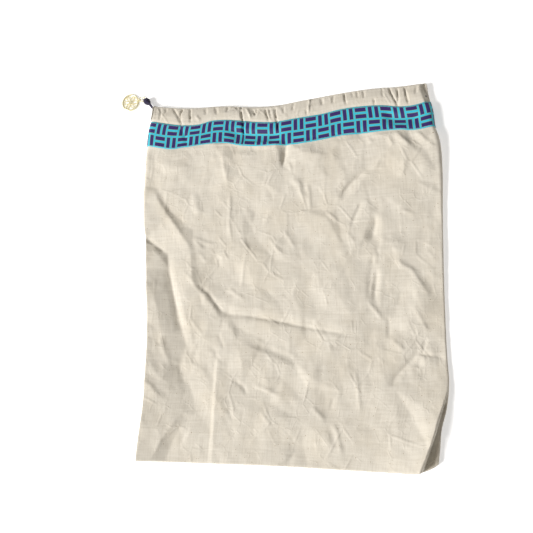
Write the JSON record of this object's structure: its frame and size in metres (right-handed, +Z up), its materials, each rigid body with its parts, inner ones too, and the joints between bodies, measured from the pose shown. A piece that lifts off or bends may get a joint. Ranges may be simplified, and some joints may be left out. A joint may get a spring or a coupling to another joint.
{
  "type": "shoe bag",
  "caption": "Flat cotton drawstring shoe bag with a cased mouth, a woven ribbon band and a knotted cord that carries a pierced round charm.",
  "frame": {"origin": "under the middle of the bag's footprint, at the level of the surface that it lies on; the cord's end and the charm are left out of this box", "axes": "+X across the bag from the drawstring's exit to the other side edge, +Y along the bag from its closed bottom to its mouth, +Z up through its thickness"},
  "size_m": [0.3384, 0.3902, 0.0124],
  "materials": {
    "canvas": "matte",
    "ribbon": "matte",
    "ribbon_thread": "matte",
    "seam_thread": "matte",
    "cord": "matte",
    "gold": "polished"
  },
  "bodies": {
    "bag": {"front_panel": "canvas", "back_panel": "canvas", "ribbon_band": "ribbon", "ribbon_upper_stitching": "ribbon_thread", "ribbon_lower_stitching": "ribbon_thread", "casing_end_stitching": "seam_thread", "left_seam_stitching": "seam_thread", "right_seam_stitching": "seam_thread", "bottom_seam_stitching": "seam_thread", "left_seam_overlock": "seam_thread", "right_seam_overlock": "seam_thread", "bottom_seam_overlock": "seam_thread", "drawstring_loop": "cord"},
    "pull": {"drawstring_tails": "cord", "drawstring_knot": "cord", "cord_eye": "cord"},
    "ring": {"jump_ring": "gold"},
    "pendant": {"charm": "gold"}
  },
  "joints": [
    {"name": "drawstring_pull", "type": "slide", "parent": "bag", "child": "pull", "axis": [-1, 0, 0], "range_m": [0, 0.25]},
    {"name": "ring_swing", "type": "hinge", "parent": "pull", "child": "ring", "pos_m": [-0.1596, 0.19615, 0.00185], "axis": [0.5, 0.866, 0], "range_deg": [0, 75]},
    {"name": "charm_swing", "type": "hinge", "parent": "ring", "child": "pendant", "pos_m": [-0.16515, 0.19713, 0.00185], "axis": [-0.1736, 0.9848, 0], "range_deg": [0, 60]}
  ]
}
